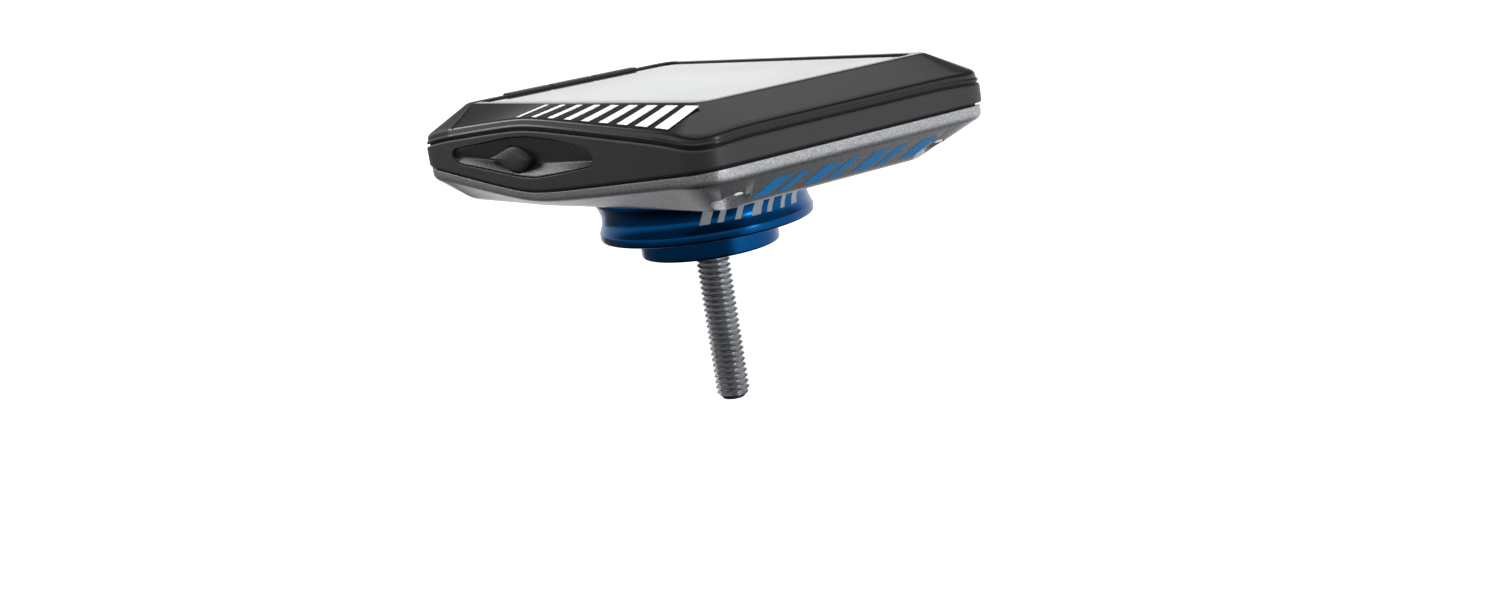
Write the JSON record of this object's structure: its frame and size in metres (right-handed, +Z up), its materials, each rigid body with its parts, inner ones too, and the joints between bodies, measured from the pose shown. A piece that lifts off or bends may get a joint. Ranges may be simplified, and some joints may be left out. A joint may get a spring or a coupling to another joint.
{
  "type": "cycling computer",
  "caption": "Handlebar cycling computer with side zoom buttons and an arched band, twisted onto a round quarter-turn top-cap bracket with its clamping bolt.",
  "frame": {"origin": "centre of the bracket's underside, on the steerer axis, where the bracket rests on the stem", "axes": "+Z up along the steerer axis, +Y towards the front end of the display (away from the rider), +X to the rider's right"},
  "size_m": [0.0578, 0.0903, 0.0565],
  "materials": {
    "blue_anodised": "anodised, satin",
    "black_nylon": "moulded, matt",
    "screw_steel": "machined",
    "bolt_steel": "machined",
    "rear_grey": "metallic grey paint",
    "seal_rubber": "matt",
    "band_grey": "fine texture",
    "front_black": "semi-gloss",
    "white_film": "matt",
    "lens_glass": "gloss",
    "black_foam": "matt",
    "lcd_glass": "satin",
    "white_plastic": "moulded",
    "amber_flex": "satin",
    "light_pipe": "frosted",
    "led_white": "gloss",
    "board_green": "solder mask",
    "shield_steel": "tinned",
    "ceramic": "ceramic",
    "battery_foil": "foil label",
    "lead_insulation": "insulation",
    "dome_brass": "stamped",
    "key_plastic": "satin",
    "side_rubber": "matt",
    "flap_rubber": "matt"
  },
  "bodies": {
    "mount": {"top_cap": "blue_anodised", "bayonet_insert": "black_nylon", "insert_screws": "screw_steel", "cap_bolt": "bolt_steel"},
    "computer": {"rear_housing": "rear_grey", "rear_seal": "seal_rubber", "mid_frame": "band_grey", "front_seal": "seal_rubber", "front_housing": "front_black", "housing_screws": "screw_steel", "vent_membrane": "white_film", "display_lens": "lens_glass", "lens_gasket": "black_foam", "lcd_panel": "lcd_glass", "backlight_frame": "white_plastic", "display_flex": "amber_flex", "led_bar_left": "light_pipe", "led_bar_front": "light_pipe", "status_leds": "led_white", "main_board": "board_green", "board_screws": "screw_steel", "shield_cans": "shield_steel", "gps_antenna": "ceramic", "buzzer": "black_nylon", "pressure_sensor": "shield_steel", "usb_port": "shield_steel", "battery": "battery_foil", "battery_pad": "black_foam", "battery_lead": "lead_insulation", "battery_connector": "white_plastic", "key_board": "board_green", "key_domes": "dome_brass", "keypad_mat": "seal_rubber", "zoom_switches": "black_nylon", "power_switch": "black_nylon"},
    "button_left": {"button_left": "key_plastic"},
    "button_center": {"button_center": "key_plastic"},
    "button_right": {"button_right": "key_plastic"},
    "zoom_up": {"zoom_up_button": "side_rubber"},
    "zoom_down": {"zoom_down_button": "side_rubber"},
    "power": {"power_button": "side_rubber"},
    "flap": {"usb_flap": "flap_rubber"}
  },
  "joints": [
    {"name": "quarter_turn", "type": "hinge", "parent": "mount", "child": "computer", "pos_m": [0, 0, 0.005], "axis": [0, 0, 1], "range_deg": [0, 90]},
    {"name": "press_left", "type": "slide", "parent": "computer", "child": "button_left", "axis": [0, 0, -1], "range_m": [0, 0.0004], "stiffness_N_per_m": 1500},
    {"name": "press_center", "type": "slide", "parent": "computer", "child": "button_center", "axis": [0, 0, -1], "range_m": [0, 0.0004], "stiffness_N_per_m": 1500},
    {"name": "press_right", "type": "slide", "parent": "computer", "child": "button_right", "axis": [0, 0, -1], "range_m": [0, 0.0004], "stiffness_N_per_m": 1500},
    {"name": "press_zoom_up", "type": "slide", "parent": "computer", "child": "zoom_up", "axis": [-1, 0, 0], "range_m": [0, 0.0004], "stiffness_N_per_m": 1500},
    {"name": "press_zoom_down", "type": "slide", "parent": "computer", "child": "zoom_down", "axis": [-1, 0, 0], "range_m": [0, 0.0004], "stiffness_N_per_m": 1500},
    {"name": "press_power", "type": "slide", "parent": "computer", "child": "power", "axis": [1, 0, 0], "range_m": [0, 0.0004], "stiffness_N_per_m": 1500},
    {"name": "flap_hinge", "type": "hinge", "parent": "computer", "child": "flap", "pos_m": [0, -0.04605, 0.0133], "axis": [1, 0, 0], "range_deg": [0, 100]}
  ]
}
